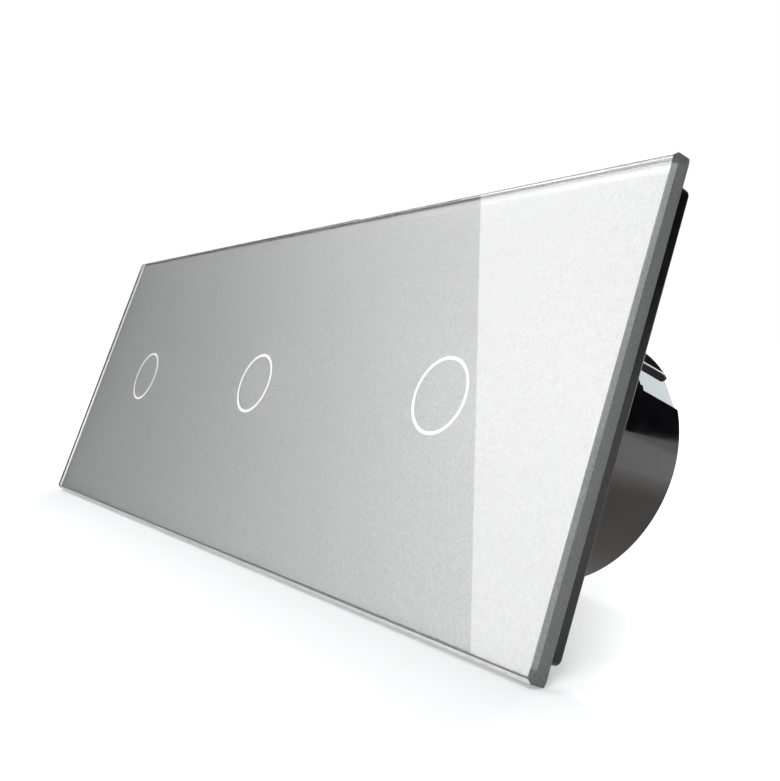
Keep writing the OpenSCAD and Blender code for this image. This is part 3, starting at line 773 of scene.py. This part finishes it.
def rear_marks():
    """The rear face's cutters: a recess that leaves a collar round each driver hole, and moulding marks."""
    floor_y = BODY_DEPTH - RECESS_DEPTH
    mark_y = floor_y - RECESS_DEPTH
    recess = drill("recess", RECESS_R, floor_y, BODY_DEPTH + CUT)
    collars = []
    for _, x in TERMINALS:
        collars.append(shift(drill("collar", COLLAR_R, floor_y - CUT, BODY_DEPTH + 2 * CUT), x, 0, TERM_Z))
    carve(recess, collars)
    gauge = slot_outline(GAUGE_L, GAUGE_W)
    marks = [shift(prism("gauge", gauge, mark_y, BODY_DEPTH), 0, 0, GAUGE_Z)]
    for x, z in EJECTORS:
        marks.append(shift(drill("ejector", EJECTOR_R, mark_y, BODY_DEPTH), x, 0, z))
    return [recess] + marks


def rear_housing():
    """The round glossy cup with its top flat, side grooves, driver holes and wire holes."""
    rounding = quarter_round(BODY_ROUND, steps=6)
    rim = [(BODY_R - inset, BODY_DEPTH - BODY_ROUND + depth) for inset, depth in rounding]
    piece = lathe("housing_cup", [(BODY_R, 0)] + rim, BODY_STEPS)
    room = drill("room", BODY_R - BODY_WALL, -CUT, BODY_DEPTH - REAR_WALL)
    above = (BODY_R + CUT, BODY_DEPTH + CUT, BODY_R + CUT)
    carve(room, [block("room_top", (-BODY_R, -2 * CUT, FLAT_Z - FLAT_WALL), above)])
    cutters = [block("flat", (-BODY_R - CUT, -CUT, FLAT_Z), above), room]
    cutters += side_groove(GROOVE_ANGLE) + side_groove(180 - GROOVE_ANGLE)
    inner = BODY_DEPTH - REAR_WALL - CUT
    for _, x in TERMINALS:
        hole = drill("driver_hole", DRIVER_R, inner, BODY_DEPTH, DRIVER_FLARE, BODY_DEPTH)
        cutters.append(shift(hole, x, 0, TERM_Z))
        entry = turn(drill("wire_hole", ENTRY_R, -FLAT_WALL - CUT, 0, ENTRY_FLARE, 0), 90, "X")
        cutters.append(shift(entry, x, ENTRY_Y, FLAT_Z))
    cutters += rear_marks()
    carve(piece, cutters)
    return soften(piece, BODY_EDGE)


def front_cover():
    """The moulded cover with its spigot, screw seats and a groove round the light guide."""
    front, back = cover_low.y, cover_low.y + COVER_T
    rounding = quarter_round(COVER_ROUND, steps=3)
    rim = [(COVER_R - inset, front + COVER_ROUND - depth) for inset, depth in rounding]
    profile = [(GUIDE_HOLE_R, front)] + rim[::-1] + [(COVER_R, back), (SPIGOT_R, back), (SPIGOT_R, 0)]
    profile += [(SPIGOT_R - SPIGOT_T, 0), (SPIGOT_R - SPIGOT_T, back), (GUIDE_HOLE_R, back)]
    piece = lathe("cover_moulding", profile, RING_STEPS, True)
    inner, outer = COVER_GROOVE
    top, floor_y = front - CUT, front + COVER_GROOVE_DEPTH
    groove = [(inner, top), (outer, top), (outer, floor_y), (inner, floor_y)]
    cutters = [lathe("cover_groove", groove, RING_STEPS, True)]
    for x in (-SCREW_X, SCREW_X):
        cutters.append(shift(drill("seat", HEAD_R + SCREW_FIT, front - CUT, front + HEAD_T), x))
        cutters.append(shift(drill("shank", SCREW_R + SCREW_FIT, front, CUT), x))
    return soften(merge_close(carve(piece, cutters)), COVER_EDGE)


def light_guide():
    """A clear ring with a rounded front and a foot on the board."""
    front, back = guide_low.y, guide_high.y
    inner, outer, foot_r = RING_R - GUIDE_T / 2, RING_R + GUIDE_T / 2, guide_high.x
    rounding = [(inset, front + GUIDE_ROUND - depth) for inset, depth in quarter_round(GUIDE_ROUND)]
    profile = [(inner + inset, y) for inset, y in rounding]
    profile += [(outer - inset, y) for inset, y in rounding[::-1]]
    profile += [(outer, back - GUIDE_FOOT_T), (foot_r, back - GUIDE_FOOT_T), (foot_r, back), (inner, back)]
    return soften(lathe("guide_ring", profile, GUIDE_STEPS, True), GUIDE_EDGE)


def touch_spring():
    """A wire helix with flat ends."""
    sides, steps = 12, 36
    back, front = spring_high.y - WIRE_R, spring_low.y + WIRE_R
    count = SPRING_TURNS * steps
    verts, faces = [], []
    for i in range(count + 1):
        a = 2 * math.pi * i / steps
        y = back + (front - back) * i / count
        for k in range(sides):
            b = 2 * math.pi * k / sides
            reach = SPRING_R + WIRE_R * math.cos(b)
            verts.append((reach * math.cos(a), y + WIRE_R * math.sin(b), reach * math.sin(a)))
    for i in range(count):
        for k in range(sides):
            j = (k + 1) % sides
            faces.append((i * sides + k, i * sides + j, (i + 1) * sides + j, (i + 1) * sides + k))
    faces += [range(sides), range(count * sides, (count + 1) * sides)]
    return soften(solid("spring_coil", verts, faces), WIRE_EDGE, angle=60)


def cover_screws():
    """Six round-headed screws with cross slots, in one piece."""
    front = cover_low.y
    under = front + HEAD_T
    tip = under + SCREW_L
    rounding = quarter_round(HEAD_ROUND)
    profile = [(HEAD_R - inset, front + HEAD_ROUND - depth) for inset, depth in rounding[::-1]]
    profile += [(HEAD_R, under), (SCREW_R, under), (SCREW_R, tip - POINT_L), (POINT_R, tip)]
    screw = lathe("cover_screw", profile, HOLE_STEPS)
    cross = cross_outline(CROSS_ARM, CROSS_W)
    merge_close(carve(screw, [prism("cross", cross, front - CUT, front + CROSS_DEPTH)]))
    work = bmesh.new()
    for _, x in MODULES:
        for side in (-SCREW_X, SCREW_X):
            start = len(work.verts)
            work.from_mesh(screw.data)
            work.verts.ensure_lookup_table()
            bmesh.ops.translate(work, verts=work.verts[start:], vec=((x + side) * MM, 0, 0))
    work.to_mesh(screw.data)
    work.free()
    return place(soften(screw, SCREW_EDGE), "modules", "zinc_screw", "housing_screws")


def terminal_screw():
    """A slotted round-headed screw with rolled thread rings on its shank."""
    tip, back = screw_low.y, screw_high.y
    under = back - TERM_HEAD_T
    rounding = quarter_round(TERM_HEAD_ROUND)
    profile = [(TERM_HEAD_R - inset, back - TERM_HEAD_ROUND + depth) for inset, depth in rounding[::-1]]
    profile += [(TERM_HEAD_R, under), (TERM_R, under)]
    rings = int((under - tip - THREAD_PLAIN) / THREAD_PITCH)
    for k in range(rings):
        y = under - THREAD_START - k * THREAD_PITCH
        profile += [(TERM_R, y), (TERM_R - THREAD_DEPTH, y - THREAD_PITCH / 2)]
    profile += [(TERM_R - TERM_POINT, tip)]
    piece = shift(lathe("slotted_screw", profile, HOLE_STEPS), 0, 0, TERM_Z)
    slot = block(
        "slot",
        (-TERM_HEAD_R - CUT, back - TERM_SLOT_DEPTH, TERM_Z - TERM_SLOT_W / 2),
        (TERM_HEAD_R + CUT, back + CUT, TERM_Z + TERM_SLOT_W / 2),
    )
    return soften(carve(piece, [slot]), SCREW_EDGE)


glass_panel()
paint_film()
ring_prints()
panel_frame()
cover_screws()

for make, name, node, slot in (
    (mount_frame, "mount_plate", "mount_frame", "zinc_plate"),
    (rear_housing, "housing_cup", "rear_housing", "gloss_black"),
    (front_cover, "cover_moulding", "front_cover", "black_moulding"),
    (light_guide, "guide_ring", "light_guide", "clear_guide"),
    (touch_spring, "spring_coil", "touch_spring", "spring_wire"),
):
    for side, piece in copies(make(), name, MODULES):
        place(piece, "modules", slot, f"{node}_{side}")

terminal_places = [(f"{side}_{number}", x + step) for side, x in MODULES for number, step in TERMINALS]
for ending, piece in copies(terminal_screw(), "slotted_screw", terminal_places):
    node = f"terminal_screw_{ending}"
    place(piece, node, "zinc_screw", node)


# Camera at the photograph's viewing angle, with its focal length in the photograph's pixels

PHOTO_H = 781
FOCAL_PX = 931.0
SENSOR = 36.0
CLIP_START = 0.001
CAMERA_AT = Vector((200.2, -103.3, -30.3)) * MM
LOOK = Vector((-0.817, 0.551, 0.173)).normalized()
RIGHTWARD = Vector((0.576, 0.759, 0.302))
RIGHT = (RIGHTWARD - LOOK * RIGHTWARD.dot(LOOK)).normalized()
UP = RIGHT.cross(LOOK)

lens = bpy.data.cameras.new("camera")
lens.sensor_width = SENSOR
lens.lens = FOCAL_PX * SENSOR / PHOTO_H
lens.clip_start = CLIP_START
camera = bpy.data.objects.new("camera", lens)
camera.matrix_world = Matrix.Translation(CAMERA_AT) @ Matrix((RIGHT, UP, -LOOK)).transposed().to_4x4()
bpy.context.collection.objects.link(camera)
bpy.context.scene.camera = camera
bpy.context.scene.view_settings.view_transform = "Standard"


# Stage, in metres: the part leans back, so the floor is tilted in the part's own frame

FLOOR_POINT = Vector((0, glass_high.y, glass_low.z)) * MM
FLOOR_UP = Vector((0, -0.4035, 0.915)).normalized()
FLOOR_BACK = Vector((0, FLOOR_UP.z, -FLOOR_UP.y))
FLOOR_SIZE = 4.0
FLOOR_COLOUR = (0.74, 0.75, 0.755, 1)
# The floor's glow by its distance from the part's foot, counted faster behind the foot than before it. The
# glow is lowest at the foot, a painted shadow round it
FLOOR_GLOW = ((0.0, 0.13), (0.03, 0.31), (0.3, 0.56), (0.9, 0.75))
BEHIND = 12.0
WHITE = 1.0
AMBIENT = 0.5


def link_background(tree, white, ambient):
    """A strength that is white to the camera, in reflections and through glass, and ambient elsewhere."""
    path = tree.nodes.new("ShaderNodeLightPath")
    seen = path.outputs["Is Camera Ray"]
    for key in ("Is Glossy Ray", "Is Transmission Ray"):
        seen = calculate(tree, "MAXIMUM", seen, path.outputs[key])
    scale = tree.nodes.new("ShaderNodeMapRange")
    scale.inputs["To Min"].default_value = ambient
    scale.inputs["To Max"].default_value = white
    tree.links.new(seen, scale.inputs["Value"])
    return scale.outputs["Result"]


def foot_distance(tree):
    """Each floor point's distance from the part's foot, counted faster behind it."""
    x, y, _ = position(tree)
    past_end = calculate(tree, "SUBTRACT", calculate(tree, "ABSOLUTE", x), glass_high.x * MM)
    before = calculate(tree, "MULTIPLY", y, -1.0)
    behind = calculate(tree, "MULTIPLY", y, BEHIND)
    offset = tree.nodes.new("ShaderNodeCombineXYZ")
    tree.links.new(calculate(tree, "MAXIMUM", past_end, 0.0), offset.inputs["X"])
    tree.links.new(calculate(tree, "MAXIMUM", before, behind), offset.inputs["Y"])
    distance = tree.nodes.new("ShaderNodeVectorMath")
    distance.operation = "LENGTH"
    tree.links.new(offset.outputs["Vector"], distance.inputs[0])
    return distance.outputs["Value"]


def floor_glow(tree):
    """The floor's glow, seen by the camera, in reflections and through glass, dimmed near the part's foot
    as a painted shadow.
    """
    ramp = tree.nodes.new("ShaderNodeValToRGB")
    far = FLOOR_GLOW[-1][0]
    value_range(tree, ramp.inputs["Fac"], foot_distance(tree), 0.0, 1.0, 0.0, far)
    stops = ramp.color_ramp.elements
    while len(stops) < len(FLOOR_GLOW):
        stops.new(1.0)
    for stop, (at, level) in zip(stops, FLOOR_GLOW):
        stop.position = at / far
        stop.color = (level, level, level, 1)
    glow = tree.nodes.new("ShaderNodeEmission")
    tree.links.new(ramp.outputs["Color"], glow.inputs["Color"])
    tree.links.new(link_background(tree, WHITE, 0.0), glow.inputs["Strength"])
    return glow.outputs["Emission"]


def floor_material():
    """A pale floor that shows from above only, and keeps the part's shadow, with a painted shadow round its
    foot from its dimmed glow.
    """
    material, tree = bare_material("pale_floor")
    diffuse = tree.nodes.new("ShaderNodeBsdfDiffuse")
    diffuse.inputs["Color"].default_value = FLOOR_COLOUR
    both = tree.nodes.new("ShaderNodeAddShader")
    tree.links.new(diffuse.outputs["BSDF"], both.inputs[0])
    tree.links.new(floor_glow(tree), both.inputs[1])
    clear = tree.nodes.new("ShaderNodeBsdfTransparent")
    under = tree.nodes.new("ShaderNodeNewGeometry")
    choose = tree.nodes.new("ShaderNodeMixShader")
    tree.links.new(under.outputs["Backfacing"], choose.inputs["Fac"])
    tree.links.new(both.outputs["Shader"], choose.inputs[1])
    tree.links.new(clear.outputs["BSDF"], choose.inputs[2])
    finish_material(tree, choose.outputs["Shader"])
    return material


def card_axes(facing, up):
    """The width, height and facing directions of a card."""
    facing = Vector(facing).normalized()
    side = Vector(up).cross(facing).normalized()
    return side, facing.cross(side), facing


def flat_card(name, centre, facing, up, width, height):
    side, top, facing = card_axes(facing, up)
    across, along = side * width / 2, top * height / 2
    corners = [Vector(centre) + i * across + j * along for i, j in ((-1, -1), (1, -1), (1, 1), (-1, 1))]
    mesh = bpy.data.meshes.new(name)
    mesh.from_pydata(corners, [], [(0, 1, 2, 3)])
    card = bpy.data.objects.new(name, mesh)
    bpy.context.collection.objects.link(card)
    return card


def reflected_card(name, centre, facing, up, width, height, brightness, colour=(1, 1, 1)):
    """A card that shows in glossy and clear surfaces only, and lights nothing."""
    material, tree = bare_material(name)
    glow = tree.nodes.new("ShaderNodeEmission")
    glow.inputs["Strength"].default_value = brightness
    glow.inputs["Color"].default_value = (*colour, 1)
    finish_material(tree, glow.outputs["Emission"])
    material.cycles.emission_sampling = "NONE"
    card = flat_card(name, centre, facing, up, width, height)
    card.data.materials.append(material)
    card.visible_camera = False
    card.visible_diffuse = False
    card.visible_shadow = False
    return card


def grade(card, dark, pale, low, high):
    """The card's brightness runs from dark to pale between two places along X."""
    tree = card.active_material.node_tree
    value_range(tree, tree.nodes["Emission"].inputs["Strength"], position(tree)[0], dark, pale, low, high)


def soft_light(name, centre, facing, up, width, height, brightness):
    """A soft box of an even brightness."""
    side, top, facing = card_axes(facing, up)
    lamp = bpy.data.lights.new(name, "AREA")
    lamp.shape = "RECTANGLE"
    lamp.size, lamp.size_y = width, height
    lamp.energy = brightness * math.pi * width * height
    light = bpy.data.objects.new(name, lamp)
    light.matrix_world = Matrix.Translation(centre) @ Matrix((-side, top, -facing)).transposed().to_4x4()
    light.visible_camera = False
    bpy.context.collection.objects.link(light)
    return light


def mirrored(at, reach):
    """The point that the camera sees mirrored in the glass at a place in X and Z, at a distance from it."""
    point = Vector((at[0], glass_low.y, at[1])) * MM
    ray = (point - CAMERA_AT).normalized()
    ray.y = -ray.y
    return point + reach * ray


floor = flat_card("floor", (0, 0, 0), (0, 0, 1), (0, 1, 0), FLOOR_SIZE, FLOOR_SIZE)
floor_axes = Matrix((Vector((1, 0, 0)), FLOOR_BACK, FLOOR_UP)).transposed().to_4x4()
floor.matrix_world = Matrix.Translation(FLOOR_POINT) @ floor_axes
floor.data.materials.append(floor_material())

world = bpy.data.worlds.new("studio")
bpy.context.scene.world = world
world.use_nodes = True
world.cycles.sampling_method = "NONE"
background = world.node_tree.nodes["Background"]
background.inputs["Color"].default_value = (1, 1, 1, 1)
world.node_tree.links.new(link_background(world.node_tree, WHITE, AMBIENT), background.inputs["Strength"])

# The key's left edge shows in the glass as a straight line beside the right ring
BAND_TOP, BAND_LOW = (66.2, 40.1), (98.5, -39.6)  # the line's ends in X and Z, in millimetres
KEY_AIM = Vector((80, glass_low.y, 0)) * MM
KEY_REACH = 0.5
KEY_W, KEY_H = 0.2, 0.52
KEY_DROP = 0.04
KEY_BRIGHTNESS = 3.1
edge_top, edge_low = mirrored(BAND_TOP, KEY_REACH), mirrored(BAND_LOW, KEY_REACH)
edge_up = (edge_top - edge_low).normalized()
edge_middle = (edge_top + edge_low) / 2
key_side, _, key_facing = card_axes(KEY_AIM - edge_middle, edge_up)
if key_side.y > 0:
    key_side = -key_side
key_centre = edge_middle + key_side * KEY_W / 2 - edge_up * KEY_DROP
soft_light("key", key_centre, key_facing, edge_up, KEY_W, KEY_H, KEY_BRIGHTNESS)

# A dark card behind the key and beyond its left edge, so that the glass mirrors no white there
FLAG_REACH = 0.62
FLAG_LEFT, FLAG_RIGHT = 0.55, 0.35
flag_edge = (mirrored(BAND_TOP, FLAG_REACH) + mirrored(BAND_LOW, FLAG_REACH)) / 2
reflected_card(
    "left_flag", centre=flag_edge + key_side * (FLAG_RIGHT - FLAG_LEFT) / 2, facing=key_facing, up=edge_up,
    width=FLAG_LEFT + FLAG_RIGHT, height=0.8, brightness=0.06,
)

# The fill lights the prints from the front right, where the glass mirrors nothing to the camera
fill = soft_light(
    "fill", centre=(0.3, -0.65, 0.4), facing=(-0.3, 0.65, -0.4), up=(0, 0, 1),
    width=0.6, height=0.6, brightness=2.9,
)
fill.visible_glossy = False

# A dark wall behind the part and bright cards before it are seen only in reflections and light nothing:
# they paint the glossy bodies' dark reflection and their highlights
WALL_Y = 0.77
WALL_UP = Vector((0.487, 0, 0.873))
WALL_LOW = Vector((0.647, WALL_Y, 0.367))
WALL_H = 0.7
GROOVE_TINT = (0.9, 0.97, 1)
reflected_card(
    "wall_right", centre=WALL_LOW + WALL_UP * WALL_H / 2, facing=(0, -1, 0), up=WALL_UP,
    width=0.9, height=WALL_H, brightness=0.01,
)
reflected_card(
    "wall_left", centre=(-0.2, WALL_Y, 0.8), facing=(0, -1, 0), up=(0, 0, 1),
    width=1.1, height=0.9, brightness=0.02,
)
reflected_card(
    "groove_card", centre=(0.082, 0.35, 0.314), facing=(0, -0.73, -0.68), up=(0, -0.68, 0.73),
    width=0.05, height=0.12, brightness=4.0, colour=GROOVE_TINT,
)
reflected_card(
    "streak_card", centre=(-0.037, 0.35, 0.302), facing=(0.28, -0.72, -0.63), up=(0, -0.66, 0.75),
    width=0.012, height=0.12, brightness=3.0,
)

# A bright and a dark card, seen only in glossy and clear surfaces, paint the light and dark lines along the
# glass's edges
reflected_card(
    "edge_card", centre=(-0.36, 0.26, 0.4), facing=(0.36, -0.26, -0.36), up=(0, 0, 1),
    width=0.25, height=0.25, brightness=1.6,
)
edge_flag = reflected_card(
    "edge_flag", centre=(-0.55, 0.16, 0.27), facing=(1, 0, 0), up=(0, 0.58, 0.81),
    width=0.3, height=0.4, brightness=0.02,
)
edge_flag.visible_transmission = False

# The floor beside the right body lies in its shade, so the body mirrors it darker towards its foot. A card
# seen only in reflections paints this shade, graded along X and tinted warm
SHADE_ALONG = (0.037, 0.15)
SHADE_BACK = (0.037, 0.2)
SHADE_GRADE = (0.117, 0.15)
SHADE_DARK, SHADE_PALE = 0.7, 1.7
SHADE_TINT = (1, 0.95, 0.91)
SHADE_LIFT = 0.0005
shade_centre = FLOOR_POINT + FLOOR_BACK * sum(SHADE_BACK) / 2 + FLOOR_UP * SHADE_LIFT
shade_centre.x = sum(SHADE_ALONG) / 2
shade = reflected_card(
    "floor_shade", centre=shade_centre, facing=FLOOR_UP, up=FLOOR_BACK,
    width=SHADE_ALONG[1] - SHADE_ALONG[0], height=SHADE_BACK[1] - SHADE_BACK[0],
    brightness=SHADE_PALE, colour=SHADE_TINT,
)
shade.visible_transmission = False
grade(shade, SHADE_DARK, SHADE_PALE, *SHADE_GRADE)

# The top light stands behind the part, so that its shadow falls to the front
top_light = soft_light(
    "top", centre=(-0.2, 0.45, 0.75), facing=(0.2, -0.42, -0.75), up=(0, 1, 0),
    width=0.7, height=0.7, brightness=2.2,
)
top_light.visible_glossy = False
